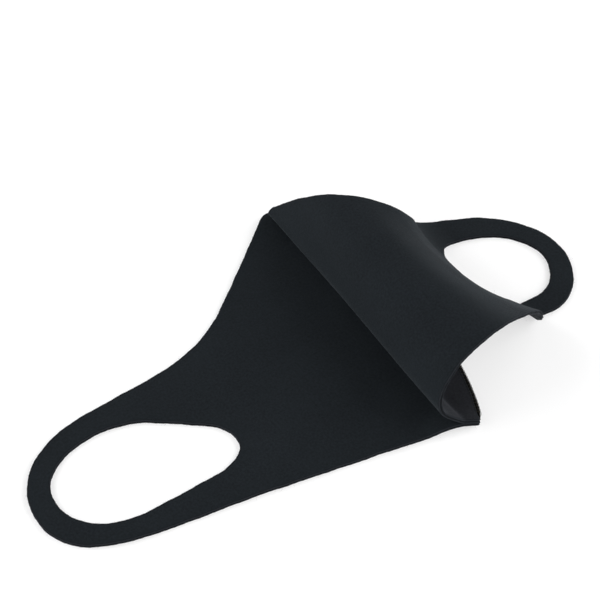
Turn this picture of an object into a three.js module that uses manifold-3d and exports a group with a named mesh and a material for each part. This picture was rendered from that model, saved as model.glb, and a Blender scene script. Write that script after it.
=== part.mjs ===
// A cloth face mask with two ear loops, lying opened on a table: the left half is flat. The right half
// lies on it beside the centre seam, folds back, and arches up before its ear loop comes down flat.
// Millimetres, +Z up. The origin is under the middle of the mask, on the table.
import * as THREE from "three";
import { mergeVertices } from "three/addons/utils/BufferGeometryUtils.js";
import Module from "manifold-3d";

const wasm = await Module();
wasm.setup();

const cloth = 1.6; // thickness of the knitted cloth
const gap = 0.3; // air left between neighbouring pieces
const noseToChin = 136; // straight length of the centre seam of one half
const seamWidth = 1.4; // bonded bead along the two seam edges
const seamShare = 0.94; // the bead runs this share of the seam, from the chin
const noseCut = 0.985; // share of the seam where the nose tip is cut off round
const seamEdge = 1.2; // how far a half stops short of the seam curve
const curveSteps = 12; // straight pieces in each curve of the outline
const seamSteps = 18; // straight pieces in the seam curve
const gridShares = 10; // cells of the cloth's grid from its top edge to its bottom edge
const firstRow = -4; // grid lines before the first section and after the last one
const lastRow = 16;
const cutterDepth = 30; // height of the block that the outline is cut with
const domeRadius = 2000; // of the blank plate that the cloth is cut from
const slopeReach = 0.4; // half the step of the slopes that give the cloth's normal
const layerHeight = 1.5 * cloth + gap; // middle of the layer that lies on the left half

// The frame of one half: u runs from the seam to the ear, v from the chin to the nose.
const chin = new THREE.Vector3(67.5, -60.2, 0); // chin end of the seam on the table
const seamAngle = THREE.MathUtils.degToRad(127.4); // direction of the seam, chin to nose, on the table
const noseward = new THREE.Vector3(Math.cos(seamAngle), Math.sin(seamAngle), 0);
const earward = new THREE.Vector3(-noseward.y, noseward.x, 0);

// The right ear loop lies flat too, turned by this angle, with its pattern origin at this point.
const loopAngle = THREE.MathUtils.degToRad(-1.5);
const loopOrigin = new THREE.Vector3(-46.4, -44.1, 0);
const loopEarward = new THREE.Vector3(Math.cos(loopAngle), Math.sin(loopAngle), 0);
const loopNoseward = new THREE.Vector3(-Math.sin(loopAngle), Math.cos(loopAngle), 0);

// Sections of the right half, seam side to ear side. Each is a line across the cloth, named by where it
// meets the top and bottom edges (distances along them from the nose and the chin), with the place of
// its two ends and how far its middle bows from straight.
const sections = [
  { name: "lens", top: -14, bottom: 2 },
  { name: "fold start", top: -6, bottom: 7 },
  { name: "fold", top: 0, bottom: 11, topAt: [-14, 45.9, 4.6], bottomAt: [57.5, -64.5, 7.5], bow: [0, 0, 0] },
  { name: "fold end", top: 6, bottom: 17, topAt: [-11, 44, 8], bottomAt: [53, -66, 12], bow: [-1, -0.5, 0] },
  { name: "low face", top: 20, bottom: 28, topAt: [-2, 40.5, 16], bottomAt: [51.5, -63.5, 20.5], bow: [-2, -1, 0] },
  { name: "high face", top: 36, bottom: 44, topAt: [10, 34.5, 25], bottomAt: [60, -54.5, 31], bow: [-3.5, -1.5, 0.5] },
  { name: "crest", top: 52, bottom: 60, topAt: [24, 29.5, 28.5], bottomAt: [73, -43, 33.5], bow: [-4.5, -1.5, 0.5] },
  { name: "shoulder", top: 67, bottom: 78, topAt: [36.5, 26.5, 26], bottomAt: [84, -30, 25.5], bow: [-4.5, -2, -1.5] },
  { name: "back", top: 82, bottom: 98, topAt: [44.5, 28, 18], bottomAt: [92, -18.5, 14], bow: [-5, -3, -3] },
  { name: "foot", top: 95, bottom: 122, topAt: [45.5, 36, 7.5], bottomAt: [94, -13.5, 5.5], bow: [-4.6, -0.6, -1.5] },
  { name: "neck", top: 108, bottom: 146, topAt: [55, 41.8, 1], bottomAt: [95.5, -10, 1], bow: [-2, 1, 0] },
  { name: "strap", top: 120, bottom: 158, topAt: [64.5, 43.8, 0.8], bottomAt: [107, -7.5, 0.8], bow: [0, 0, 0] },
  { name: "loop", top: 132, bottom: 170 },
  { name: "loop end", top: 144, bottom: 182 },
];
const flatSections = 2; // sections at each end that lie in a flat stretch

// Where both layers lift off the table near the nose and the chin.
const lifts = [
  { name: "nose", u: 2, v: 136, height: 1.2, reach: 22 },
  { name: "chin", u: 12, v: -2, height: 2.4, reach: 16 },
];

// The seam edge of one half, from the chin to the nose.
const seamCurve = new THREE.CubicBezierCurve(
  new THREE.Vector2(0, 0),
  new THREE.Vector2(-17, 27),
  new THREE.Vector2(-30, 100),
  new THREE.Vector2(0, noseToChin),
);

// Points of the seam curve moved sideways towards the ear by inset.
function seamPoints(inset, share = 1) {
  const points = [];
  for (let i = 0; i <= seamSteps; i++) {
    const at = seamCurve.getPoint((i / seamSteps) * share);
    const along = seamCurve.getTangent((i / seamSteps) * share);
    points.push(new THREE.Vector2(at.x + along.y * inset, at.y - along.x * inset));
  }
  return points;
}

// The lines that the sections are measured along: the top edge from the nose, and the bottom edge from
// the chin, out to the ear loop.
function topEdge() {
  const path = new THREE.Path();
  path.moveTo(0, noseToChin);
  path.lineTo(47, 103);
  path.bezierCurveTo(61, 93.5, 74, 91.4, 92, 91.4);
  path.lineTo(116, 92.3);
  return path;
}

function bottomEdge() {
  const path = new THREE.Path();
  path.moveTo(0, 0);
  path.lineTo(45, 12.5);
  path.lineTo(128, 34.3);
  return path;
}

// The hole that the ear goes through.
function earHole() {
  const path = new THREE.Path();
  path.moveTo(100, 75);
  path.lineTo(83.6, 60.8);
  path.bezierCurveTo(74.6, 52.2, 75, 40.6, 90.5, 39.2);
  path.lineTo(120, 40.9);
  path.bezierCurveTo(136, 42.3, 146.3, 51, 146.2, 63.2);
  path.bezierCurveTo(145.9, 74.9, 136, 82, 121, 81.7);
  path.bezierCurveTo(113, 81.4, 106, 79.5, 100, 75);
  return path;
}

// One half of the mask, cut flat: half of the face and one ear loop.
function halfPattern() {
  const shape = new THREE.Shape();
  const seam = seamPoints(seamEdge, noseCut);
  shape.moveTo(1.6, -2.4);
  shape.bezierCurveTo(12.5, 4, 40, 10.2, 62, 16.8);
  shape.lineTo(82, 22.1);
  shape.lineTo(128, 33.1);
  shape.bezierCurveTo(146, 38.3, 155.5, 47, 155.5, 61.5);
  shape.bezierCurveTo(155.4, 81.4, 136, 92.4, 116, 91.7);
  shape.lineTo(92, 90.9);
  shape.bezierCurveTo(74, 90.9, 61, 93, 47, 102.5);
  shape.lineTo(6, 131.3);
  shape.quadraticCurveTo(2, 134.4, seam[seamSteps].x, seam[seamSteps].y);
  for (let i = seamSteps - 1; i >= 0; i--) {
    shape.lineTo(seam[i].x, seam[i].y);
  }
  shape.holes.push(earHole());
  return shape;
}

// A function from the distance along an edge to a point, straight on past both ends.
function edgeRuler(path) {
  const points = path.getPoints(curveSteps);
  const stops = [0];
  for (let i = 1; i < points.length; i++) {
    stops.push(stops[i - 1] + points[i].distanceTo(points[i - 1]));
  }
  return (distance) => {
    let i = 1;
    while (i < points.length - 1 && stops[i] < distance) {
      i++;
    }
    const share = (distance - stops[i - 1]) / (stops[i] - stops[i - 1]);
    return points[i - 1].clone().lerp(points[i], share);
  };
}

const topPoint = edgeRuler(topEdge());
const bottomPoint = edgeRuler(bottomEdge());

function between(a, b, share) {
  return a + (b - a) * share;
}

// The two ends, on the pattern, of the line across the cloth at row (a section's number, or between two).
function lineAt(row) {
  const i = THREE.MathUtils.clamp(Math.floor(row), 0, sections.length - 2);
  const top = between(sections[i].top, sections[i + 1].top, row - i);
  const bottom = between(sections[i].bottom, sections[i + 1].bottom, row - i);
  return { top: topPoint(top), bottom: bottomPoint(bottom) };
}

// Which side of the line at row a pattern point is on: positive towards the ear.
function sideOf(row, u, v) {
  const { top, bottom } = lineAt(row);
  return (bottom.x - top.x) * (v - top.y) - (bottom.y - top.y) * (u - top.x);
}

// The row, and the share of the way from the top edge to the bottom edge, of a pattern point.
function locate(u, v) {
  let low = 0;
  let high = sections.length - 1;
  while (high - low > 1e-6) {
    const middle = (low + high) / 2;
    if (sideOf(middle, u, v) > 0) {
      low = middle;
    } else {
      high = middle;
    }
  }
  const { top, bottom } = lineAt(low);
  const line = bottom.clone().sub(top);
  const share = (new THREE.Vector2(u, v).sub(top).dot(line)) / line.lengthSq();
  return { row: low, share };
}

function liftAt(u, v) {
  let height = 0;
  for (const lift of lifts) {
    const away = ((u - lift.u) ** 2 + (v - lift.v) ** 2) / lift.reach ** 2;
    height += lift.height * Math.max(0, 1 - away) ** 2;
  }
  return height;
}

// The flat places: the left half, the layer of the right half that lies on it, and the right ear loop.
function onTable(u, v, height) {
  return chin.clone().addScaledVector(earward, u).addScaledVector(noseward, v).setZ(height);
}

function leftAt(u, v) {
  return onTable(u, v, cloth / 2 + liftAt(u, v));
}

function layerAt(u, v) {
  return onTable(u, v, layerHeight + liftAt(u, v));
}

function loopAt(u, v) {
  return loopOrigin.clone().addScaledVector(loopEarward, u).addScaledVector(loopNoseward, v).setZ(cloth / 2);
}

// Ends and bow of each section in space; the flat ones come from the flat places.
const ribs = sections.map((section, i) => {
  if (section.topAt) {
    return {
      top: new THREE.Vector3(...section.topAt),
      bottom: new THREE.Vector3(...section.bottomAt),
      bow: new THREE.Vector3(...section.bow),
    };
  }
  const flat = i < flatSections ? layerAt : loopAt;
  const line = lineAt(i);
  return {
    top: flat(line.top.x, line.top.y),
    bottom: flat(line.bottom.x, line.bottom.y),
    bow: new THREE.Vector3(),
  };
});

// Distance across the cloth from the first section to each one.
const stations = [0];
for (let i = 1; i < sections.length; i++) {
  const step = Math.hypot(
    sections[i].top - sections[i - 1].top,
    sections[i].bottom - sections[i - 1].bottom,
  );
  stations.push(stations[i - 1] + step / Math.SQRT2);
}

// Slope of the smooth curve through one key of the ribs at rib i. The bend leaves the flat stretches
// at their own slope.
function slopeAt(key, i) {
  const before = stations[i] - stations[i - 1];
  const after = stations[i + 1] - stations[i];
  if (i === flatSections - 1) {
    return ribs[i][key].clone().sub(ribs[i - 1][key]).divideScalar(before);
  }
  if (i === ribs.length - flatSections) {
    return ribs[i + 1][key].clone().sub(ribs[i][key]).divideScalar(after);
  }
  const rise = ribs[i + 1][key].clone().sub(ribs[i][key]).multiplyScalar(before / after);
  const run = ribs[i][key].clone().sub(ribs[i - 1][key]).multiplyScalar(after / before);
  return rise.add(run).divideScalar(before + after);
}

// A smooth curve through one key of the ribs.
function along(key, row) {
  const i = Math.floor(row);
  const t = row - i;
  const width = stations[i + 1] - stations[i];
  return new THREE.Vector3()
    .addScaledVector(ribs[i][key], 2 * t ** 3 - 3 * t ** 2 + 1)
    .addScaledVector(slopeAt(key, i), (t ** 3 - 2 * t ** 2 + t) * width)
    .addScaledVector(ribs[i + 1][key], 3 * t ** 2 - 2 * t ** 3)
    .addScaledVector(slopeAt(key, i + 1), (t ** 3 - t ** 2) * width);
}

// The lifts are local, so a line across the last flat section is not straight: its height above the
// straight line between its ends.
function flatRise(share) {
  const { top, bottom } = lineAt(flatSections - 1);
  const at = top.clone().lerp(bottom, share);
  return liftAt(at.x, at.y) - between(liftAt(top.x, top.y), liftAt(bottom.x, bottom.y), share);
}

// Middle surface of the right half.
function rightAt(u, v) {
  const { row, share } = locate(u, v);
  if (row < flatSections - 1) {
    return layerAt(u, v);
  }
  if (row > sections.length - flatSections) {
    return loopAt(u, v);
  }
  const point = along("top", row).multiplyScalar(1 - share);
  point.addScaledVector(along("bottom", row), share);
  point.addScaledVector(along("bow", row), 4 * share * (1 - share));
  const nearFlat = Math.max(0, flatSections - row);
  point.z += flatRise(share) * nearFlat ** 2 * (3 - 2 * nearFlat);
  point.z = Math.max(point.z, cloth / 2);
  return point;
}

// A closed solid for manifold-3d from a geometry.
function solidOf(geometry) {
  const bare = geometry.clone();
  bare.deleteAttribute("normal");
  bare.deleteAttribute("uv");
  const merged = mergeVertices(bare, 1e-4);
  const vertProperties = new Float32Array(merged.getAttribute("position").array);
  const triVerts = new Uint32Array(merged.index.array);
  return new wasm.Manifold(new wasm.Mesh({ numProp: 3, vertProperties, triVerts }));
}

// The blank plate is slightly domed, so that the outline is cut out of it without losing its grid.
function domeAt(u, v) {
  return (u ** 2 + v ** 2) / (2 * domeRadius);
}

// A blank plate in the pattern plane with a grid line at each row.
function blankPlate(rows) {
  const shares = [];
  for (let k = -1; k <= gridShares + 1; k++) {
    shares.push(k / gridShares);
  }
  const across = shares.length;
  const layer = rows.length * across;
  const points = [];
  for (const side of [1, -1]) {
    for (const row of rows) {
      const { top, bottom } = lineAt(row);
      for (const share of shares) {
        const at = top.clone().lerp(bottom, share);
        points.push(new THREE.Vector3(at.x, at.y, (side * cloth) / 2 + domeAt(at.x, at.y)));
      }
    }
  }
  const index = [];
  const quad = (a, b, c, d) => index.push(a, b, c, a, c, d);
  for (let i = 0; i < rows.length - 1; i++) {
    for (let j = 0; j < across - 1; j++) {
      const a = i * across + j;
      const [b, c, d] = [a + 1, a + across + 1, a + across];
      quad(a, b, c, d);
      quad(layer + a, layer + d, layer + c, layer + b);
    }
    const near = i * across;
    const far = near + across - 1;
    quad(near, near + across, layer + near + across, layer + near);
    quad(far, layer + far, layer + far + across, far + across);
  }
  const last = (rows.length - 1) * across;
  for (let j = 0; j < across - 1; j++) {
    quad(j, layer + j, layer + j + 1, j + 1);
    quad(last + j, last + j + 1, layer + last + j + 1, layer + last + j);
  }
  const plate = new THREE.BufferGeometry().setFromPoints(points);
  plate.setIndex(index);
  return plate;
}

// One half cut out of a blank plate and laid on a surface.
function sheetOn(surface, rows) {
  const cutter = new THREE.ExtrudeGeometry(halfPattern(), {
    depth: cutterDepth,
    bevelEnabled: false,
    curveSegments: curveSteps,
  });
  cutter.translate(0, 0, -cloth);
  const cut = solidOf(blankPlate(rows)).intersect(solidOf(cutter)).getMesh();
  const laid = [];
  for (let i = 0; i < cut.numVert; i++) {
    const [u, v, height] = cut.vertProperties.subarray(i * cut.numProp, i * cut.numProp + 3);
    const acrossU = surface(u + slopeReach, v).sub(surface(u - slopeReach, v));
    const acrossV = surface(u, v + slopeReach).sub(surface(u, v - slopeReach));
    const normal = acrossU.cross(acrossV).normalize();
    const face = Math.sign(height - domeAt(u, v));
    const point = surface(u, v).addScaledVector(normal, (face * cloth) / 2);
    laid.push(point.setZ(Math.max(point.z, 0)));
  }
  const sheet = new THREE.BufferGeometry().setFromPoints(laid);
  sheet.setIndex(Array.from(cut.triVerts));
  sheet.computeVertexNormals();
  return sheet;
}

// Rows of the grid: wide steps in the flat stretches, fine ones where the cloth bends.
function gridRows(bendSteps) {
  const rows = [];
  for (let row = firstRow; row < flatSections - 1; row++) {
    rows.push(row);
  }
  const bendEnd = sections.length - flatSections;
  for (let k = 0; k <= (bendEnd - flatSections + 1) * bendSteps; k++) {
    rows.push(flatSections - 1 + k / bendSteps);
  }
  for (let row = bendEnd + 1; row <= lastRow; row++) {
    rows.push(row);
  }
  return rows;
}

function leftPanel() {
  return sheetOn(leftAt, gridRows(1));
}

function rightPanel() {
  return sheetOn(rightAt, gridRows(3));
}

// The bead that joins the seam edges of the two layers, from the chin to the nose.
function centreSeam() {
  const half = seamWidth / 2;
  const outline = new THREE.Shape();
  const crown = -cloth; // the outline's first axis points down
  const sole = cloth - 2 * gap;
  outline.moveTo(crown, -half);
  outline.lineTo(sole, -half);
  outline.lineTo(sole, half);
  outline.lineTo(crown, half);
  outline.closePath();
  const middle = seamPoints(seamEdge - gap - half, seamShare).map((p) => {
    return onTable(p.x, p.y, cloth + liftAt(p.x, p.y));
  });
  const path = new THREE.CatmullRomCurve3(middle);
  const bead = new THREE.ExtrudeGeometry(outline, {
    steps: seamSteps,
    bevelEnabled: false,
    extrudePath: path,
  });
  bead.deleteAttribute("normal");
  bead.deleteAttribute("uv");
  const merged = mergeVertices(bead, 1e-3);
  merged.computeVertexNormals();
  return merged;
}

function knit(color) {
  return new THREE.MeshStandardMaterial({ color, roughness: 0.92, metalness: 0 });
}

function piece(name, geometry, color) {
  const mesh = new THREE.Mesh(geometry, knit(color));
  mesh.name = name;
  return mesh;
}

const mask = new THREE.Group();
mask.add(piece("left_panel", leftPanel(), 0x1b2125));
mask.add(piece("right_panel", rightPanel(), 0x1d2328));
mask.add(piece("centre_seam", centreSeam(), 0x14181b));

// Put the origin under the middle of the mask, on the table.
const box = new THREE.Box3().setFromObject(mask);
const centre = box.getCenter(new THREE.Vector3());
mask.position.set(-centre.x, -centre.y, -box.min.z);

export default mask;
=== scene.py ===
import math

import bpy
import numpy as np
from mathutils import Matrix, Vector
from mathutils.geometry import delaunay_2d_cdt


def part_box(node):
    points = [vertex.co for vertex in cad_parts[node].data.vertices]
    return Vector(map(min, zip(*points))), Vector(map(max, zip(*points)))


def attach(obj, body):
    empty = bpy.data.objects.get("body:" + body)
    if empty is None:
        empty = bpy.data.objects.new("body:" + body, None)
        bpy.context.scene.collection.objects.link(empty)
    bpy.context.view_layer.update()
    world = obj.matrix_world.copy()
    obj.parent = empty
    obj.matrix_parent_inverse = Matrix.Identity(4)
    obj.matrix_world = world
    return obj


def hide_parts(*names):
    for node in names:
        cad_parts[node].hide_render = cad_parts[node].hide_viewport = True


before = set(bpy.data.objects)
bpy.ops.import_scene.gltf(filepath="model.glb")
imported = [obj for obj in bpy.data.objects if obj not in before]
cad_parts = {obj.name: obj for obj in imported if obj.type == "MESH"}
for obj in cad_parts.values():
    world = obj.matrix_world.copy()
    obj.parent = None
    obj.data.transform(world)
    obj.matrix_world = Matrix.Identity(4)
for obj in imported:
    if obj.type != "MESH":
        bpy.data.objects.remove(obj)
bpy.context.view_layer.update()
mm = 0.001  # the cloth is worked out in millimetres and made in metres

cloth = {
    "thickness": 1.6,
    "gap": 0.3,           # air between the two layers
    "faceStep": 1.25,     # spacing of the points in the faces
    "edgeStep": 0.55,     # spacing of the points along a cut edge
    "cornerRound": 0.7,   # how far the cutter rounds a corner
    "wander": 0.11,       # how far a cut edge strays from its line
    "swell": 0.13,        # slow unevenness of the cloth
    "curveSteps": 40,
    "slopeReach": 0.3,    # half the step of the slopes that give the cloth's normal
    "mapSize": 100,       # millimetres of pattern in one unit of the pattern map
}

# From one face to the other round a cut edge: how far in from the cut, and the height as a share of
# half the thickness. The two knitted faces stand out as lips and the core between them sits back.
edgeProfile = [
    {"inset": 0.60, "height": 1.0},
    {"inset": 0.28, "height": 0.97},
    {"inset": 0.08, "height": 0.86},
    {"inset": 0.00, "height": 0.68},
    {"inset": 0.04, "height": 0.48},
    {"inset": 0.17, "height": 0.30},
    {"inset": 0.20, "height": 0.0},
    {"inset": 0.17, "height": -0.30},
    {"inset": 0.04, "height": -0.48},
    {"inset": 0.00, "height": -0.68},
    {"inset": 0.08, "height": -0.86},
    {"inset": 0.28, "height": -0.97},
    {"inset": 0.60, "height": -1.0},
]

# The frame of one half: u runs from the seam to the ear, v from the chin to the nose.
place = {
    "chin": (67.5, -60.2),
    "seamAngle": math.radians(127.4),
    "loopOrigin": (-46.4, -44.1),
    "loopAngle": math.radians(-1.5),
}

seam = {
    "curve": [(0, 0), (-17, 27), (-30, 100), (0, 136)],
    "edge": 1.2,     # how far a half stops short of the seam curve
    "share": 0.94,   # the bond runs this share of the seam, from the chin
    "noseCut": 0.985,  # share of the seam where the nose tip is cut off round
    "width": 1.3,
    "height": 2.2,
    "step": 0.3,
    "sides": 10,
}

# Lines across the cloth, seam side to ear side: where each meets the top and bottom edges, and where
# its two ends and the bow of its middle are in space. Those without a place lie flat.
sections = [
    {"name": "lens", "top": -14, "bottom": 2},
    {"name": "foldStart", "top": -6, "bottom": 7},
    {"name": "fold", "top": 0, "bottom": 11,
     "topAt": (-14, 45.9, 4.6), "bottomAt": (57.5, -64.5, 7.5), "bow": (0, 0, 0)},
    {"name": "foldEnd", "top": 6, "bottom": 17,
     "topAt": (-11, 44, 8), "bottomAt": (53, -66, 12), "bow": (-1, -0.5, 0)},
    {"name": "lowFace", "top": 20, "bottom": 28,
     "topAt": (-2, 40.5, 16), "bottomAt": (51.5, -63.5, 20.5), "bow": (-2, -1, 0)},
    {"name": "highFace", "top": 36, "bottom": 44,
     "topAt": (10, 34.5, 25), "bottomAt": (60, -54.5, 31), "bow": (-3.5, -1.5, 0.5)},
    {"name": "crest", "top": 52, "bottom": 60,
     "topAt": (24, 29.5, 28.5), "bottomAt": (73, -43, 33.5), "bow": (-4.5, -1.5, 0.5)},
    {"name": "shoulder", "top": 67, "bottom": 78,
     "topAt": (36.5, 26.5, 26), "bottomAt": (84, -30, 25.5), "bow": (-4.5, -2, -1.5)},
    {"name": "back", "top": 82, "bottom": 98,
     "topAt": (44.5, 28, 18), "bottomAt": (92, -18.5, 14), "bow": (-5, -3, -3)},
    {"name": "foot", "top": 95, "bottom": 122,
     "topAt": (45.5, 36, 7.5), "bottomAt": (94, -13.5, 5.5), "bow": (-4.6, -0.6, -1.5)},
    {"name": "neck", "top": 108, "bottom": 146,
     "topAt": (55, 41.8, 1), "bottomAt": (95.5, -10, 1), "bow": (-2, 1, 0)},
    {"name": "strap", "top": 120, "bottom": 158,
     "topAt": (64.5, 43.8, 0.8), "bottomAt": (107, -7.5, 0.8), "bow": (0, 0, 0)},
    {"name": "loop", "top": 132, "bottom": 170},
    {"name": "loopEnd", "top": 144, "bottom": 182},
]
flatSections = 2  # at each end

# Where both layers lift off the table.
lifts = [
    {"name": "nose", "at": (2, 136), "height": 1.2, "reach": 22},
    {"name": "chin", "at": (12, -2), "height": 2.4, "reach": 16},
]

# The lines that the sections are measured along, as straight stretches of two points and curves of four.
topLine = [
    [(0, 136), (47, 103)],
    [(47, 103), (61, 93.5), (74, 91.4), (92, 91.4)],
    [(92, 91.4), (116, 92.3)],
]
bottomLine = [
    [(0, 0), (45, 12.5)],
    [(45, 12.5), (128, 34.3)],
]

# The cut of one half from the chin round the ear loop to the nose, and the corner it rounds there.
outerCut = [
    [(1.6, -2.4), (12.5, 4), (40, 10.2), (62, 16.8)],
    [(62, 16.8), (82, 22.1)],
    [(82, 22.1), (128, 33.1)],
    [(128, 33.1), (146, 38.3), (155.5, 47), (155.5, 61.5)],
    [(155.5, 61.5), (155.4, 81.4), (136, 92.4), (116, 91.7)],
    [(116, 91.7), (92, 90.9)],
    [(92, 90.9), (74, 90.9), (61, 93), (47, 102.5)],
    [(47, 102.5), (6, 131.3)],
]
noseCorner = (2, 134.4)
earHole = [
    [(100, 75), (83.6, 60.8)],
    [(83.6, 60.8), (74.6, 52.2), (75, 40.6), (90.5, 39.2)],
    [(90.5, 39.2), (120, 40.9)],
    [(120, 40.9), (136, 42.3), (146.3, 51), (146.2, 63.2)],
    [(146.2, 63.2), (145.9, 74.9), (136, 82), (121, 81.7)],
    [(121, 81.7), (113, 81.4), (106, 79.5), (100, 75)],
]


def unit(angle):
    return np.array([math.cos(angle), math.sin(angle)])


# Turned left by a right angle.
def quarterTurn(vectors):
    return np.stack([-vectors[..., 1], vectors[..., 0]], -1)


# Points of one stretch, its first one left out.
def stretchPoints(ends):
    ends = np.array(ends, float)
    if len(ends) == 2:
        return ends[1:]
    t = np.linspace(0, 1, cloth["curveSteps"] + 1)[1:, None]
    a, b, c, d = ends
    return a * (1 - t) ** 3 + 3 * b * t * (1 - t) ** 2 + 3 * c * t**2 * (1 - t) + d * t**3


def linePoints(stretches):
    start = np.array([stretches[0][0]], float)
    return np.concatenate([start] + [stretchPoints(ends) for ends in stretches])


def runningLength(points):
    steps = np.linalg.norm(np.diff(points, axis=0), axis=1)
    return np.concatenate([[0], np.cumsum(steps)])


# The seam edge from the chin to the nose, moved towards the ear by inset.
def seamLine(inset, share=1.0):
    line = linePoints([seam["curve"]])
    stops = runningLength(line)
    stops = stops / stops[-1]
    kept = np.concatenate([stops[stops < share], [share]])
    line = np.column_stack([np.interp(kept, stops, line[:, k]) for k in range(2)])
    along = np.gradient(line, axis=0)
    along /= np.linalg.norm(along, axis=1)[:, None]
    return line - quarterTurn(along) * inset


# A function from distances along an edge to points, straight on past both ends.
def edgeRuler(stretches):
    points = linePoints(stretches)
    stops = runningLength(points)

    def pointAt(distance):
        i = np.clip(np.searchsorted(stops, distance), 1, len(points) - 1)
        share = (distance - stops[i - 1]) / (stops[i] - stops[i - 1])
        return points[i - 1] + (points[i] - points[i - 1]) * share[..., None]

    return pointAt


topPoint = edgeRuler(topLine)
bottomPoint = edgeRuler(bottomLine)
topStops = np.array([s["top"] for s in sections], float)
bottomStops = np.array([s["bottom"] for s in sections], float)


# The two ends, on the pattern, of the lines across the cloth at these rows.
def lineAt(row):
    i = np.clip(np.floor(row).astype(int), 0, len(sections) - 2)
    share = row - i
    top = topPoint(topStops[i] + (topStops[i + 1] - topStops[i]) * share)
    bottom = bottomPoint(bottomStops[i] + (bottomStops[i + 1] - bottomStops[i]) * share)
    return top, bottom


# The row of each pattern point, and its share of the way from the top edge to the bottom edge.
def locate(spots):
    low = np.zeros(len(spots))
    high = np.full(len(spots), len(sections) - 1.0)
    for _ in range(26):
        middle = (low + high) / 2
        top, bottom = lineAt(middle)
        across = bottom - top
        aside = spots - top
        earSide = across[:, 0] * aside[:, 1] - across[:, 1] * aside[:, 0] > 0
        low = np.where(earSide, middle, low)
        high = np.where(earSide, high, middle)
    top, bottom = lineAt(low)
    across = bottom - top
    share = ((spots - top) * across).sum(1) / (across**2).sum(1)
    return low, share


def liftAt(spots):
    height = np.zeros(len(spots))
    for lift in lifts:
        away = ((spots - np.array(lift["at"])) ** 2).sum(1) / lift["reach"] ** 2
        height += lift["height"] * np.clip(1 - away, 0, None) ** 2
    return height


noseward = unit(place["seamAngle"])
earward = quarterTurn(noseward)
loopEarward = unit(place["loopAngle"])
loopNoseward = quarterTurn(loopEarward)


# The flat places: on the table by the seam's frame, or by the right ear loop's.
def onTable(spots, height):
    flat = np.array(place["chin"]) + spots[:, :1] * earward + spots[:, 1:] * noseward
    return np.column_stack([flat, height])


def leftAt(spots):
    return onTable(spots, cloth["thickness"] / 2 + liftAt(spots))


def layerAt(spots):
    return onTable(spots, 1.5 * cloth["thickness"] + cloth["gap"] + liftAt(spots))


def loopAt(spots):
    flat = np.array(place["loopOrigin"]) + spots[:, :1] * loopEarward + spots[:, 1:] * loopNoseward
    return np.column_stack([flat, np.full(len(spots), cloth["thickness"] / 2)])


# Ends and bow of each section in space; the flat ones come from the flat places.
def makeRibs():
    ribs = {"top": [], "bottom": [], "bow": []}
    for i, section in enumerate(sections):
        if "topAt" in section:
            ends = [section["topAt"], section["bottomAt"]]
        else:
            top, bottom = lineAt(np.array([float(i)]))
            flat = layerAt if i < flatSections else loopAt
            ends = [flat(top)[0], flat(bottom)[0]]
        ribs["top"].append(ends[0])
        ribs["bottom"].append(ends[1])
        ribs["bow"].append(section.get("bow", (0, 0, 0)))
    return {key: np.array(rows, float) for key, rows in ribs.items()}


ribs = makeRibs()
sectionSteps = np.hypot(np.diff(topStops), np.diff(bottomStops)) / math.sqrt(2)
stations = np.concatenate([[0], np.cumsum(sectionSteps)])


# A smooth curve through one key of the ribs, which leaves the flat stretches at their own slope.
def along(key, row):
    values = ribs[key]
    i = np.clip(np.floor(row).astype(int), flatSections - 1, len(sections) - flatSections - 1)
    t = (row - i)[:, None]
    width = (stations[i + 1] - stations[i])[:, None]

    def slopeAt(k):
        before = (stations[k] - stations[k - 1])[:, None]
        after = (stations[k + 1] - stations[k])[:, None]
        rise = (values[k + 1] - values[k]) / after
        run = (values[k] - values[k - 1]) / before
        slope = (rise * before + run * after) / (before + after)
        slope = np.where((k == flatSections - 1)[:, None], run, slope)
        return np.where((k == len(sections) - flatSections)[:, None], rise, slope)

    return (
        values[i] * (2 * t**3 - 3 * t**2 + 1)
        + slopeAt(i) * (t**3 - 2 * t**2 + t) * width
        + values[i + 1] * (3 * t**2 - 2 * t**3)
        + slopeAt(i + 1) * (t**3 - t**2) * width
    )


# The lifts are local, so a line across the last flat section is not straight: its height above the
# straight line between its ends.
def flatRise(share):
    top, bottom = lineAt(np.array([flatSections - 1.0]))
    ends = liftAt(np.vstack([top, bottom]))
    return liftAt(top + (bottom - top) * share) - (ends[0] + (ends[1] - ends[0]) * share[:, 0])


# Middle surface of the right half.
def rightAt(spots):
    row, share = locate(spots)
    share = share[:, None]
    points = along("top", row) * (1 - share) + along("bottom", row) * share
    points += along("bow", row) * 4 * share * (1 - share)
    nearFlat = np.clip(flatSections - row, 0, 1)
    points[:, 2] += flatRise(share) * nearFlat**2 * (3 - 2 * nearFlat)
    points[:, 2] = np.maximum(points[:, 2], cloth["thickness"] / 2)
    points = np.where((row < flatSections - 1)[:, None], layerAt(spots), points)
    return np.where((row > len(sections) - flatSections)[:, None], loopAt(spots), points)


# A slow unevenness, the same for both halves so that the layers stay apart.
def makeSwell(seed):
    draw = np.random.default_rng(seed)
    waves = []
    for wavelength, share in [(46, 1.0), (33, 0.8), (21, 0.5), (13, 0.28), (9, 0.16)]:
        for _ in range(3):
            direction = unit(draw.uniform(0, math.tau))
            waves.append((direction * math.tau / wavelength, draw.uniform(0, math.tau), share))
    total = math.sqrt(sum(share**2 for _, _, share in waves))

    def swellAt(spots):
        return sum(np.sin(spots @ k + phase) * share for k, phase, share in waves) / total

    return swellAt


swellAt = makeSwell(11)


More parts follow.
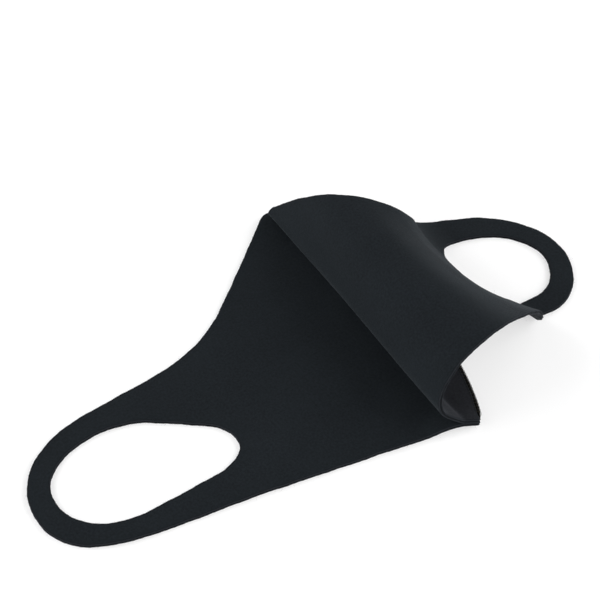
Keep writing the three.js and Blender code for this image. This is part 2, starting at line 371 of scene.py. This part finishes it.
# The surface moved along its own normal, by a height from its middle.
def clothPoints(surface, spots, height):
    reach = cloth["slopeReach"]
    stepU = np.array([reach, 0])
    stepV = np.array([0, reach])
    acrossU = surface(spots + stepU) - surface(spots - stepU)
    acrossV = surface(spots + stepV) - surface(spots - stepV)
    normal = np.cross(acrossU, acrossV)
    normal /= np.linalg.norm(normal, axis=1)[:, None]
    swell = (1 + swellAt(spots)) * cloth["swell"]
    points = surface(spots) + normal * np.broadcast_to(height, len(spots))[:, None]
    points[:, 2] += swell
    return points


def closedLength(loop):
    return runningLength(np.vstack([loop, loop[:1]]))


def resampled(loop, step):
    stops = closedLength(loop)
    count = int(round(stops[-1] / step))
    at = np.arange(count) * stops[-1] / count
    ring = np.vstack([loop, loop[:1]])
    return np.column_stack([np.interp(at, stops, ring[:, k]) for k in range(2)])


def inwardOf(loop):
    ahead = np.roll(loop, -1, axis=0) - np.roll(loop, 1, axis=0)
    ahead /= np.linalg.norm(ahead, axis=1)[:, None]
    return quarterTurn(ahead)


# A cut edge: corners a little round, and a line that wanders.
def cutLoop(points, seed):
    draw = np.random.default_rng(seed)
    fine = 0.1
    loop = resampled(points, fine)
    spread = cloth["cornerRound"] / fine
    reach = int(4 * spread)
    weights = np.exp(-0.5 * (np.arange(-reach, reach + 1) / spread) ** 2)
    weights /= weights.sum()
    loop = sum(np.roll(loop, k - reach, axis=0) * w for k, w in enumerate(weights))
    length = closedLength(loop)[-1]
    at = np.arange(len(loop)) / len(loop) * math.tau
    wander = np.zeros(len(loop))
    for wavelength, share in [(38, 0.8), (17, 0.6), (7, 0.4), (3.1, 0.3), (1.7, 0.22)]:
        turns = max(1, round(length / wavelength * draw.uniform(0.8, 1.2)))
        wander += share * np.sin(at * turns + draw.uniform(0, math.tau))
    loop += inwardOf(loop) * wander[:, None] * cloth["wander"]
    return resampled(loop, cloth["edgeStep"])


# The plain outline of one half.
def plainOuter():
    seamEdge = seamLine(seam["edge"], seam["noseCut"])
    cut = linePoints(outerCut)
    turn = np.array(noseCorner, float)
    t = np.linspace(0, 1, 8)[1:, None]
    corner = cut[-1] * (1 - t) ** 2 + 2 * turn * t * (1 - t) + seamEdge[-1] * t**2
    return np.vstack([cut, corner, seamEdge[::-1][1:]])


def clothLoops():
    hole = linePoints(earHole)[:-1][::-1]
    loops = []
    for seed, points, turn in [(3, plainOuter(), 1), (4, hole, -1)]:
        x, y = points.T
        area = (x * np.roll(y, -1) - y * np.roll(x, -1)).sum()
        loops.append(cutLoop(points if area * turn > 0 else points[::-1], seed))
    return loops


def insideOf(spots, loops):
    inside = np.zeros(len(spots), bool)
    for loop in loops:
        for (x0, y0), (x1, y1) in zip(loop, np.roll(loop, -1, axis=0)):
            if y0 == y1:
                continue
            spans = (spots[:, 1] < y0) != (spots[:, 1] < y1)
            crossing = x0 + (x1 - x0) * (spots[:, 1] - y0) / (y1 - y0)
            inside ^= spans & (spots[:, 0] < crossing)
    return inside


# Points in staggered lines over the cloth, clear of its edges.
def faceSpots(loops):
    step = cloth["faceStep"]
    low = loops[0].min(0)
    high = loops[0].max(0)
    lines = []
    for k, v in enumerate(np.arange(low[1], high[1], step * math.sqrt(3) / 2)):
        u = np.arange(low[0] + (k % 2) * step / 2, high[0], step)
        lines.append(np.column_stack([u, np.full(len(u), v)]))
    spots = np.concatenate(lines)
    spots = spots[insideOf(spots, loops)]
    edge = np.concatenate(loops)
    nearest = np.concatenate([
        np.linalg.norm(part[:, None] - edge[None], axis=2).min(1)
        for part in np.array_split(spots, 40)
    ])
    return spots[nearest > 0.6 * step]


def faceMesh(loops):
    spots = np.concatenate(loops + [faceSpots(loops)])
    edges = []
    start = 0
    for loop in loops:
        count = len(loop)
        edges += [(start + k, start + (k + 1) % count) for k in range(count)]
        start += count
    made = delaunay_2d_cdt([Vector(p) for p in spots.tolist()], edges, [], 0, 1e-5)
    triangles = np.array([[made[3][k][0] for k in face] for face in made[2]])
    middles = spots[triangles].mean(1)
    triangles = triangles[insideOf(middles, loops)]
    a, b, c = (spots[triangles[:, k]] for k in range(3))
    turn = (b - a)[:, 0] * (c - a)[:, 1] - (b - a)[:, 1] * (c - a)[:, 0]
    triangles[turn < 0] = triangles[turn < 0][:, ::-1]
    return spots, triangles


# The shift from the mask's own frame to the model's.
ownEdge = onTable(plainOuter(), np.zeros(len(plainOuter())))
modelBox = np.array(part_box("left_panel")) / mm
shift = (modelBox[0] + modelBox[1] - ownEdge.min(0) - ownEdge.max(0)) / 2
shift[2] = 0


def toModel(points):
    return (points + shift) * mm


def newPiece(name, points, faces, materials, faceKinds=None):
    mesh = bpy.data.meshes.new(name)
    mesh.from_pydata(points.tolist(), [], [list(map(int, face)) for face in faces])
    for material in materials:
        mesh.materials.append(material)
    if faceKinds is not None:
        mesh.polygons.foreach_set("material_index", np.asarray(faceKinds, np.int32))
    mesh.polygons.foreach_set("use_smooth", np.ones(len(mesh.polygons), bool))
    mesh.update()
    piece = bpy.data.objects.new(name, mesh)
    bpy.context.scene.collection.objects.link(piece)
    return piece


# Each corner's place on the pattern, for the knit to follow.
def mapPattern(piece, spots):
    mesh = piece.data
    layer = mesh.uv_layers.new(name="pattern")
    corners = np.empty(len(mesh.loops), np.int32)
    mesh.loops.foreach_get("vertex_index", corners)
    layer.uv.foreach_set("vector", (spots[corners] / cloth["mapSize"]).astype(np.float32).ravel())


def addShare(piece, name, values):
    attribute = piece.data.attributes.new(name, "FLOAT", "POINT")
    attribute.data.foreach_set("value", np.asarray(values, np.float32))


# One half: two faces joined all round by the profile of the cut edge.
def makeHalf(name, surface, loops, materials, seed):
    draw = np.random.default_rng(seed)
    half = cloth["thickness"] / 2
    insets = [loop + inwardOf(loop) * edgeProfile[0]["inset"] for loop in loops]
    spots, triangles = faceMesh(insets)
    rimSpots = np.concatenate(insets)
    rimCount = len(rimSpots)
    loopIn = np.concatenate([inwardOf(loop) for loop in loops])
    loopSpots = np.concatenate(loops)
    following = []
    start = 0
    for loop in loops:
        following.append(start + (np.arange(len(loop)) + 1) % len(loop))
        start += len(loop)
    following = np.concatenate(following)
    allSpots = [spots, spots]
    heights = [np.full(len(spots), half), np.full(len(spots), -half)]
    lips = [np.zeros(len(spots))] * 2
    rings = [np.arange(rimCount)]
    base = 2 * len(spots)
    for row in edgeProfile[1:-1]:
        ragged = draw.normal(0, 0.035, rimCount)
        ragged = (ragged + np.roll(ragged, 1)) * (1 - abs(row["height"]))
        allSpots.append(loopSpots + loopIn * (row["inset"] + ragged)[:, None])
        heights.append(np.full(rimCount, row["height"] * half) + draw.normal(0, 0.02, rimCount))
        lips.append(np.full(rimCount, 1.0 if abs(row["height"]) > 0.4 else 0.35))
        rings.append(base + np.arange(rimCount))
        base += rimCount
    rings.append(len(spots) + np.arange(rimCount))
    allSpots = np.concatenate(allSpots)
    points = clothPoints(surface, allSpots, np.concatenate(heights))
    faces = [triangles, triangles[:, ::-1] + len(spots)]
    kinds = [np.zeros(len(triangles), int), np.ones(len(triangles), int)]
    faces = [list(face) for part in faces for face in part]
    kinds = list(np.concatenate(kinds))
    for upper, lower in zip(rings, rings[1:]):
        for k in range(rimCount):
            ahead = following[k]
            faces.append([upper[k], lower[k], lower[ahead], upper[ahead]])
            kinds.append(2)
    piece = newPiece(name, toModel(points), faces, materials, kinds)
    mapPattern(piece, allSpots)
    addShare(piece, "lip", np.concatenate(lips))
    return piece


# Short hairs of yarn standing out of the cut edges.
fuzz = {
    "perMillimetre": 2.6,
    "length": (0.15, 0.75),
    "longShare": 0.05,     # of the hairs are loose ends
    "longLength": (0.9, 1.9),
    "radius": 0.022,
    "bends": 4,
    "sides": 3,
}


def makeHairs(name, roots, outward, upward, lengths, radius, material, seed):
    draw = np.random.default_rng(seed)
    count = len(roots)
    sideward = np.cross(outward, upward)
    lean = draw.normal(0, 0.55, (count, 2))
    heading = outward + sideward * lean[:, :1] + upward * lean[:, 1:]
    heading /= np.linalg.norm(heading, axis=1)[:, None]
    curl = sideward * draw.normal(0, 0.6, (count, 1)) + upward * draw.normal(0, 0.5, (count, 1))
    bends = fuzz["bends"]
    sides = fuzz["sides"]
    rings = []
    for k in range(bends + 1):
        t = k / bends
        middle = roots + (heading * t + curl * t**2) * lengths[:, None]
        firstSide = np.cross(heading, sideward + 0.01)
        firstSide /= np.linalg.norm(firstSide, axis=1)[:, None]
        secondSide = np.cross(heading, firstSide)
        thin = radius * (1 - 0.6 * t)
        for s in range(sides):
            angle = math.tau * s / sides
            rings.append(middle + (firstSide * math.cos(angle) + secondSide * math.sin(angle)) * thin)
    points = np.stack(rings, 1).reshape(-1, 3)
    points[:, 2] = np.maximum(points[:, 2], 0.03)
    pattern = []
    for k in range(bends):
        for s in range(sides):
            a = k * sides + s
            b = k * sides + (s + 1) % sides
            pattern.append([a, b, b + sides, a + sides])
    pattern = np.array(pattern)
    perHair = (bends + 1) * sides
    starts = np.arange(count) * perHair
    walls = (starts[:, None, None] + pattern[None]).reshape(-1, 4)
    roofs = [[s + perHair - 3, s + perHair - 2, s + perHair - 1] for s in starts]
    floors = [[s + 2, s + 1, s] for s in starts]
    return newPiece(name, toModel(points), walls.tolist() + roofs + floors, [material])


def makeEdgeFuzz(name, surface, loops, material, seed):
    draw = np.random.default_rng(seed)
    roots = []
    inward = []
    for loop in loops:
        count = int(closedLength(loop)[-1] * fuzz["perMillimetre"])
        pick = draw.uniform(0, len(loop), count)
        k = pick.astype(int)
        share = (pick - k)[:, None]
        roots.append(loop[k] * (1 - share) + loop[(k + 1) % len(loop)] * share)
        inward.append(inwardOf(loop)[k])
    roots = np.concatenate(roots)
    inward = np.concatenate(inward)
    half = cloth["thickness"] / 2
    heights = np.where(draw.random(len(roots)) < 0.75, 0.62, 0.2) * half
    heights = heights * draw.choice([-1, 1], len(roots)) + draw.normal(0, 0.08, len(roots))
    base = clothPoints(surface, roots + inward * 0.1, heights)
    tip = clothPoints(surface, roots - inward * 0.4, heights)
    over = clothPoints(surface, roots + inward * 0.1, heights + 0.5)
    outward = tip - base
    outward /= np.linalg.norm(outward, axis=1)[:, None]
    upward = over - base
    upward /= np.linalg.norm(upward, axis=1)[:, None]
    lengths = draw.uniform(*fuzz["length"], len(roots))
    loose = draw.random(len(roots)) < fuzz["longShare"]
    lengths[loose] = draw.uniform(*fuzz["longLength"], loose.sum())
    return makeHairs(name, base, outward, upward, lengths, fuzz["radius"], material, seed + 1)


# The bond along the two seam edges: a rounded bead, a little uneven, with thread wrapped over it.
stitch = {
    "pitch": 1.45,
    "radius": 0.11,
    "over": 1.5,     # how far a wrap reaches over the cloth
    "lean": 0.35,    # how far a wrap slants along the seam, and how much that varies
    "untidy": 0.16,
    "turn": 1.12,    # of the wrap round the bond, in half turns
    "clearance": 0.12,
    "lift": 0.09,    # above and below the cloth
    "rush": 1.15,    # how soon a wrap reaches its full height
    "backFrom": 0.55,  # share of the way to its ends where a wrap lies back over the cloth
    "sides": 6,
    "steps": 14,
}


# Middle line of the seam, its direction and the way out from the cloth, in the mask's own frame.
def seamFrame(step):
    line = seamLine(seam["edge"] - cloth["gap"] - seam["width"] / 2, seam["share"])
    stops = runningLength(line)
    at = np.arange(0, stops[-1], step)
    spots = np.column_stack([np.interp(at, stops, line[:, k]) for k in range(2)])
    height = cloth["thickness"] + cloth["gap"] / 2 + liftAt(spots)
    height += (1 + swellAt(spots)) * cloth["swell"]
    middle = onTable(spots, height)
    ahead = np.gradient(middle, axis=0)
    ahead /= np.linalg.norm(ahead, axis=1)[:, None]
    up = np.tile([0.0, 0.0, 1.0], (len(spots), 1))
    outward = np.cross(ahead, up)
    inside = onTable(spots + np.array([5.0, 0]), height) - middle
    outward *= -np.sign((outward * inside).sum(1))[:, None]
    return at, spots, middle, ahead, outward, up


def tubeFaces(ringCount, sides):
    faces = []
    for k in range(ringCount - 1):
        for s in range(sides):
            a = k * sides + s
            b = k * sides + (s + 1) % sides
            faces.append([a, b, b + sides, a + sides])
    last = (ringCount - 1) * sides
    faces.append(list(range(sides))[::-1])
    faces.append([last + s for s in range(sides)])
    return faces


def makeSeam(material):
    draw = np.random.default_rng(21)
    at, spots, middle, ahead, outward, up = seamFrame(seam["step"])
    sides = seam["sides"]
    ripple = 1 + 0.06 * np.sin(at * math.tau / stitch["pitch"]) + draw.normal(0, 0.03, len(at))
    taper = np.clip(np.minimum(at, at[-1] - at) / 2.5, 0.25, 1) ** 0.5
    rings = []
    for s in range(sides):
        angle = math.tau * s / sides
        aside = math.cos(angle)
        aside = math.copysign(abs(aside) ** 0.7, aside) * seam["width"] / 2
        rise = math.sin(angle)
        rise = math.copysign(abs(rise) ** 0.8, rise) * seam["height"] / 2
        swelling = (ripple * taper)[:, None]
        rings.append(middle + (outward * aside + up * rise) * swelling)
    points = np.stack(rings, 1).reshape(-1, 3)
    piece = newPiece("seamBond", toModel(points), tubeFaces(len(at), sides), [material])
    mapPattern(piece, np.repeat(spots, sides, axis=0))
    return piece


def makeStitches(material):
    draw = np.random.default_rng(22)
    at, spots, middle, ahead, outward, up = seamFrame(stitch["pitch"])
    sides = stitch["sides"]
    points = []
    faces = []
    for k in range(1, len(at) - 1):
        slant = draw.normal(stitch["lean"], stitch["untidy"])
        reach = stitch["over"] * draw.uniform(0.8, 1.15)
        tall = cloth["thickness"] + cloth["gap"] / 2 + stitch["lift"]
        route = []
        for j in range(stitch["steps"] + 1):
            t = j / stitch["steps"]
            angle = (t - 0.5) * math.pi * stitch["turn"]
            aside = math.cos(angle) * (seam["width"] / 2 + stitch["clearance"])
            past = abs(angle) - math.pi / 4
            if past > 0:
                aside = min(aside, (1 - past) * seam["width"] / 2)
            back = max(0.0, abs(2 * t - 1) - stitch["backFrom"]) / (1 - stitch["backFrom"]) * reach
            rise = math.copysign(min(1.0, abs(math.sin(angle)) * stitch["rush"]), angle) * tall
            point = middle[k] + outward[k] * (aside - back) + up[k] * rise
            point = point + ahead[k] * (slant * (2 * t - 1) + draw.normal(0, 0.02))
            route.append(point)
        route = np.array(route)
        route[:, 2] = np.maximum(route[:, 2], stitch["radius"] + 0.02)
        way = np.gradient(route, axis=0)
        way /= np.linalg.norm(way, axis=1)[:, None]
        first = np.cross(way, ahead[k])
        first /= np.linalg.norm(first, axis=1)[:, None]
        second = np.cross(way, first)
        start = len(points) * len(route) * sides
        rings = []
        for s in range(sides):
            angle = math.tau * s / sides
            rings.append(route + (first * math.cos(angle) + second * math.sin(angle)) * stitch["radius"])
        points.append(np.stack(rings, 1).reshape(-1, 3))
        faces += [[start + n for n in face] for face in tubeFaces(len(route), sides)]
    return newPiece("seamStitches", toModel(np.concatenate(points)), faces, [material])


def addNode(tree, kind, **settings):
    node = tree.nodes.new(kind)
    for key, value in settings.items():
        setattr(node, key, value)
    return node


def feed(tree, socket, value):
    if isinstance(value, bpy.types.NodeSocket):
        tree.links.new(value, socket)
    else:
        socket.default_value = value


def calc(tree, operation, *values):
    node = addNode(tree, "ShaderNodeMath", operation=operation)
    for socket, value in zip(node.inputs, values):
        feed(tree, socket, value)
    return node.outputs[0]


def blendColours(tree, share, first, second):
    node = addNode(tree, "ShaderNodeMix", data_type="RGBA")
    feed(tree, node.inputs["Factor"], share)
    feed(tree, node.inputs["A"], first)
    feed(tree, node.inputs["B"], second)
    return node.outputs["Result"]


def newGroup(name, inputs, outputs):
    group = bpy.data.node_groups.new(name, "ShaderNodeTree")
    for label, kind, value in inputs:
        socket = group.interface.new_socket(name=label, in_out="INPUT", socket_type=kind)
        if value is not None:
            socket.default_value = value
    for label, kind in outputs:
        group.interface.new_socket(name=label, in_out="OUTPUT", socket_type=kind)
    start = addNode(group, "NodeGroupInput")
    end = addNode(group, "NodeGroupOutput")
    return group, start.outputs, end.inputs


stitchShape = {
    "waverScale": 0.45,
    "columnWaver": 6,  # how much the columns stray, and the rows
    "rowWaver": 8,
    "slant": 1.3,      # of a stitch's legs, in rows
    "bulge": 0.28,
    "roundness": 0.6,
}


# Columns of knitted stitches: each is a pair of slanted legs, so the rows read as small chevrons.
def knitGroup():
    group, given, result = newGroup(
        "knitStitches",
        [
            ("Place", "NodeSocketVector", None),
            ("Column", "NodeSocketFloat", 0.6),
            ("Row", "NodeSocketFloat", 0.5),
            ("Waver", "NodeSocketFloat", 0.12),
        ],
        [("Height", "NodeSocketFloat")],
    )
    waver = addNode(group, "ShaderNodeTexNoise", noise_dimensions="2D")
    feed(group, waver.inputs["Vector"], given["Place"])
    feed(group, waver.inputs["Scale"], stitchShape["waverScale"])
    parts = addNode(group, "ShaderNodeSeparateXYZ")
    feed(group, parts.inputs[0], given["Place"])
    astray = calc(group, "MULTIPLY", calc(group, "SUBTRACT", waver.outputs["Fac"], 0.5), given["Waver"])
    sideways = calc(group, "MULTIPLY_ADD", astray, stitchShape["columnWaver"], parts.outputs["X"])
    across = calc(group, "DIVIDE", sideways, given["Column"])
    inColumn = calc(group, "ABSOLUTE", calc(group, "SUBTRACT", calc(group, "FRACT", across), 0.5))
    leg = calc(group, "SINE", calc(group, "MULTIPLY", inColumn, math.tau))
    rowPlace = calc(group, "DIVIDE", parts.outputs["Y"], given["Row"])
    slanted = calc(group, "MULTIPLY_ADD", inColumn, stitchShape["slant"], rowPlace)
    slanted = calc(group, "MULTIPLY_ADD", astray, stitchShape["rowWaver"], slanted)
    wave = calc(group, "SINE", calc(group, "MULTIPLY", slanted, math.tau))
    bulge = calc(group, "MULTIPLY_ADD", wave, stitchShape["bulge"], 1 - stitchShape["bulge"])
    rounded = calc(group, "POWER", calc(group, "MAXIMUM", leg, 0.0), stitchShape["roundness"])
    feed(group, result["Height"], calc(group, "MULTIPLY", rounded, bulge))
    return group


# Uneven dye and fibre: slow tone, small mottle and fine specks, each about one half on average.
def mottleGroup():
    group, given, result = newGroup(
        "fibreMottle",
        [
            ("Place", "NodeSocketVector", None),
            ("Slow", "NodeSocketFloat", 0.035),
            ("Small", "NodeSocketFloat", 0.5),
            ("Fine", "NodeSocketFloat", 1.1),
        ],
        [("Tone", "NodeSocketFloat"), ("Speck", "NodeSocketFloat")],
    )
    layers = []
    for label, detail in [("Slow", 3.0), ("Small", 4.0), ("Fine", 2.0)]:
        noise = addNode(group, "ShaderNodeTexNoise", noise_dimensions="2D")
        feed(group, noise.inputs["Vector"], given["Place"])
        feed(group, noise.inputs["Scale"], given[label])
        feed(group, noise.inputs["Detail"], detail)
        layers.append(noise.outputs["Fac"])
    slowShare = 0.6
    tone = calc(group, "MULTIPLY", layers[0], slowShare)
    tone = calc(group, "MULTIPLY_ADD", layers[1], 1 - slowShare, tone)
    feed(group, result["Tone"], tone)
    feed(group, result["Speck"], layers[2])
    return group


knit = {
    "faceDark": (0.0016, 0.0027, 0.0037, 1),
    "faceLight": (0.0142, 0.0184, 0.0222, 1),
    # The back face is a little purplish of its own. Both its colours are also lightened as painted light
    # for the pocket inside the fold, where this face shows on the lens layer.
    "backDarkPaintedLit": (0.0052, 0.0056, 0.0072, 1),
    "backLightPaintedLit": (0.0260, 0.0275, 0.0325, 1),
    # The lips' colours are lighter than the face's: painted highlight along the cut edges, which the
    # loose fibres share.
    "lipDarkPaintedHighlight": (0.006, 0.007, 0.009, 1),
    "lipLightPaintedHighlight": (0.021, 0.024, 0.029, 1),
    "coreColour": (0.004, 0.005, 0.006, 1),
    "threadDark": (0.014, 0.012, 0.010, 1),
    "threadLight": (0.040, 0.036, 0.028, 1),
    "column": 0.62,
    "row": 0.5,
    "sheen": 0.05,
    "sheenRoughness": 0.42,
    "sheenTint": (0.80, 0.90, 1.0, 1),
    "specular": 0.10,
    "bump": 0.35,
    "speckHeight": 0.6,
    # How much each part of the pattern adds to the tone, and the tones of the two colours.
    "toneShare": 0.7,
    "speckShare": 0.9,
    "stitchGrooveShade": 0.3,
    "darkBelow": 0.2,
    "lightAbove": 1.7,
}

knitStitches = knitGroup()
fibreMottle = mottleGroup()


def patternPlace(tree):
    source = addNode(tree, "ShaderNodeUVMap", uv_map="pattern")
    scaled = addNode(tree, "ShaderNodeVectorMath", operation="SCALE")
    feed(tree, scaled.inputs[0], source.outputs[0])
    scaled.inputs["Scale"].default_value = cloth["mapSize"]
    return scaled.outputs[0]


def objectPlace(tree):
    source = addNode(tree, "ShaderNodeTexCoord")
    scaled = addNode(tree, "ShaderNodeVectorMath", operation="SCALE")
    feed(tree, scaled.inputs[0], source.outputs["Object"])
    scaled.inputs["Scale"].default_value = 1 / mm
    return scaled.outputs[0]


def newMaterial(name):
    material = bpy.data.materials.new(name)
    material.use_nodes = True
    tree = material.node_tree
    return material, tree, tree.nodes["Principled BSDF"]


def setSheen(shader, share=1.0):
    shader.inputs["Sheen Weight"].default_value = knit["sheen"] * share
    shader.inputs["Sheen Roughness"].default_value = knit["sheenRoughness"]
    shader.inputs["Sheen Tint"].default_value = knit["sheenTint"]
    shader.inputs["Specular IOR Level"].default_value = knit["specular"]


def useGroup(tree, group, place, **values):
    node = addNode(tree, "ShaderNodeGroup", node_tree=group)
    feed(tree, node.inputs["Place"], place)
    for label, value in values.items():
        node.inputs[label].default_value = value
    return node.outputs


# Raises the surface of a material by a height.
def addBump(tree, shader, height, strength, distance):
    bump = addNode(tree, "ShaderNodeBump")
    bump.inputs["Strength"].default_value = strength
    bump.inputs["Distance"].default_value = distance * mm
    feed(tree, bump.inputs["Height"], height)
    feed(tree, shader.inputs["Normal"], bump.outputs[0])


def mapRange(tree, value, **ends):
    node = addNode(tree, "ShaderNodeMapRange")
    feed(tree, node.inputs["Value"], value)
    for label, end in ends.items():
        node.inputs[label.replace("_", " ")].default_value = end
    return node.outputs[0]


# A knitted face: the stitches raise the surface, and their height also darkens the colour in the grooves
# between them, as painted shade.
def knitMaterial(name, dark, light):
    material, tree, shader = newMaterial(name)
    at = patternPlace(tree)
    stitches = useGroup(tree, knitStitches, at, Column=knit["column"], Row=knit["row"])
    mottle = useGroup(tree, fibreMottle, at)
    tone = calc(tree, "MULTIPLY", mottle["Tone"], knit["toneShare"])
    tone = calc(tree, "MULTIPLY_ADD", mottle["Speck"], knit["speckShare"], tone)
    # Painted shade: lower in the stitch pattern means darker colour.
    tone = calc(tree, "MULTIPLY_ADD", stitches["Height"], knit["stitchGrooveShade"], tone)
    share = mapRange(tree, tone, From_Min=knit["darkBelow"], From_Max=knit["lightAbove"])
    feed(tree, shader.inputs["Base Color"], blendColours(tree, share, dark, light))
    rough = mapRange(tree, mottle["Tone"], To_Min=0.86, To_Max=0.98)
    feed(tree, shader.inputs["Roughness"], rough)
    height = calc(tree, "MULTIPLY_ADD", mottle["Speck"], knit["speckHeight"], stitches["Height"])
    addBump(tree, shader, height, knit["bump"], 0.12)
    setSheen(shader)
    return material


# The cut edge: the fuzzy lips of the two faces, lightened as painted highlight where the edge catches
# the light, with the dark core between them.
def edgeMaterial():
    material, tree, shader = newMaterial("cutEdge")
    at = objectPlace(tree)
    mottle = useGroup(tree, fibreMottle, at, Small=1.2, Fine=6.0)
    lip = addNode(tree, "ShaderNodeAttribute", attribute_name="lip")
    # Painted highlight: the lips are coloured lighter than the knitted face.
    pale = blendColours(tree, mottle["Speck"], knit["lipDarkPaintedHighlight"], knit["lipLightPaintedHighlight"])
    share = mapRange(tree, lip.outputs["Fac"], From_Min=0.4, From_Max=0.9)
    feed(tree, shader.inputs["Base Color"], blendColours(tree, share, knit["coreColour"], pale))
    addBump(tree, shader, mottle["Speck"], 0.6, 0.1)
    shader.inputs["Roughness"].default_value = 0.95
    setSheen(shader)
    return material


def threadMaterial(name, dark, light, sheenShare):
    material, tree, shader = newMaterial(name)
    mottle = useGroup(tree, fibreMottle, objectPlace(tree), Small=0.8, Fine=5.0)
    feed(tree, shader.inputs["Base Color"], blendColours(tree, mottle["Speck"], dark, light))
    addBump(tree, shader, mottle["Speck"], 0.5, 0.08)
    shader.inputs["Roughness"].default_value = 0.85
    setSheen(shader, sheenShare)
    return material


def floorMaterial():
    material, tree, shader = newMaterial("paleFloor")
    mottle = useGroup(tree, fibreMottle, objectPlace(tree), Slow=0.004, Small=0.02, Fine=0.3)
    colour = blendColours(tree, mottle["Tone"], studio["floorDark"], studio["floorLight"])
    feed(tree, shader.inputs["Base Color"], colour)
    shader.inputs["Emission Color"].default_value = (1, 1, 1, 1)
    shader.inputs["Emission Strength"].default_value = studio["floorGlow"]
    shader.inputs["Roughness"].default_value = 0.8
    shader.inputs["Specular IOR Level"].default_value = 0.1
    return material


knitFace = knitMaterial("knitFace", knit["faceDark"], knit["faceLight"])
# The back face's lighter colours are painted light for the pocket inside the fold.
knitBackPaintedLit = knitMaterial("knitBackPaintedLit", knit["backDarkPaintedLit"], knit["backLightPaintedLit"])
cutEdge = edgeMaterial()
seamThread = threadMaterial("seamThread", knit["threadDark"], knit["threadLight"], 0.8)
seamGlue = threadMaterial("seamGlue", knit["coreColour"], knit["threadDark"], 0.5)
# The loose fibres take the lips' lightened colours, a painted highlight.
looseFibre = threadMaterial("looseFibre", knit["lipDarkPaintedHighlight"], knit["lipLightPaintedHighlight"], 1.0)
print("finishes: knit faces, cut edge, seam thread")

loops = clothLoops()
leftHalf = makeHalf("leftHalf", leftAt, loops, [knitBackPaintedLit, knitFace, cutEdge], 31)
rightHalf = makeHalf("rightHalf", rightAt, loops, [knitFace, knitBackPaintedLit, cutEdge], 32)
print("halves:", len(leftHalf.data.polygons), len(rightHalf.data.polygons), "faces")

seamBond = makeSeam(seamGlue)
seamStitches = makeStitches(seamThread)
print("seam: bond and", len(seamStitches.data.polygons), "faces of thread")

leftFuzz = makeEdgeFuzz("leftEdgeFuzz", leftAt, loops, looseFibre, 41)
rightFuzz = makeEdgeFuzz("rightEdgeFuzz", rightAt, loops, looseFibre, 43)
print("fuzz:", len(leftFuzz.data.polygons), len(rightFuzz.data.polygons), "faces")

for piece, node in [(leftHalf, "left_panel"), (rightHalf, "right_panel"), (seamBond, "centre_seam")]:
    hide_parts(node)
for piece in [leftHalf, rightHalf, seamBond, seamStitches, leftFuzz, rightFuzz]:
    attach(piece, "root")

# A pale floor and soft round lamps about the mask: bearings run clockwise from the far side.
studio = {
    "floorSize": 6.0,
    "floorDark": (0.45, 0.45, 0.453, 1),
    "floorLight": (0.46, 0.46, 0.46, 1),
    "floorGlow": 0.56,  # the floor's own light, which keeps its shadows pale
    "sky": 0.045,
    "lampDistance": 1.5,
    "lampSize": 1.5,
    "lampHeight": math.radians(25),
    "lamps": [
        {"name": "rightLamp", "bearing": 90, "power": 18.5},
        {"name": "leftLamp", "bearing": 270, "power": 23},
        {"name": "frontRightLamp", "bearing": 135, "power": 12},
        {"name": "backRightLamp", "bearing": 45, "power": 10},
        {"name": "frontLeftLamp", "bearing": 225, "power": 8},
        {"name": "backLeftLamp", "bearing": 315, "power": 5},
    ],
}

sight = {"elevation": math.radians(49), "distance": 0.640, "lens": 96, "sensor": 36}


def makeFloor():
    half = studio["floorSize"] / 2
    points = np.array([(-half, -half, 0), (half, -half, 0), (half, half, 0), (-half, half, 0)])
    return newPiece("floor", points, [[0, 1, 2, 3]], [floorMaterial()])


def makeLamp(row, aim):
    light = bpy.data.lights.new(row["name"], "AREA")
    light.shape = "DISK"
    light.size = studio["lampSize"]
    light.energy = row["power"]
    lamp = bpy.data.objects.new(row["name"], light)
    bearing = math.radians(row["bearing"])
    level = math.cos(studio["lampHeight"])
    away = Vector((math.sin(bearing) * level, math.cos(bearing) * level, math.sin(studio["lampHeight"])))
    lamp.location = aim + away * studio["lampDistance"]
    lamp.rotation_euler = (-away).to_track_quat("-Z", "Y").to_euler()
    bpy.context.scene.collection.objects.link(lamp)


def makeSky():
    world = bpy.data.worlds.new("studioSky")
    world.use_nodes = True
    sky = world.node_tree.nodes["Background"]
    sky.inputs["Color"].default_value = (1, 1, 1, 1)
    sky.inputs["Strength"].default_value = studio["sky"]
    bpy.context.scene.world = world


def makeCamera(aim):
    lens = bpy.data.cameras.new("camera")
    lens.lens = sight["lens"]
    lens.sensor_width = sight["sensor"]
    lens.clip_start = 0.05
    camera = bpy.data.objects.new("camera", lens)
    away = Vector((0, -math.cos(sight["elevation"]), math.sin(sight["elevation"])))
    camera.location = aim + away * sight["distance"]
    camera.rotation_euler = (math.pi / 2 - sight["elevation"], 0, 0)
    bpy.context.scene.collection.objects.link(camera)
    bpy.context.scene.camera = camera


aim = Vector(toModel(np.zeros((1, 3)))[0])
makeFloor()
makeSky()
for row in studio["lamps"]:
    makeLamp(row, aim)
makeCamera(aim)
bpy.context.scene.view_settings.view_transform = "Standard"
print("studio: floor, sky, lamps and camera")
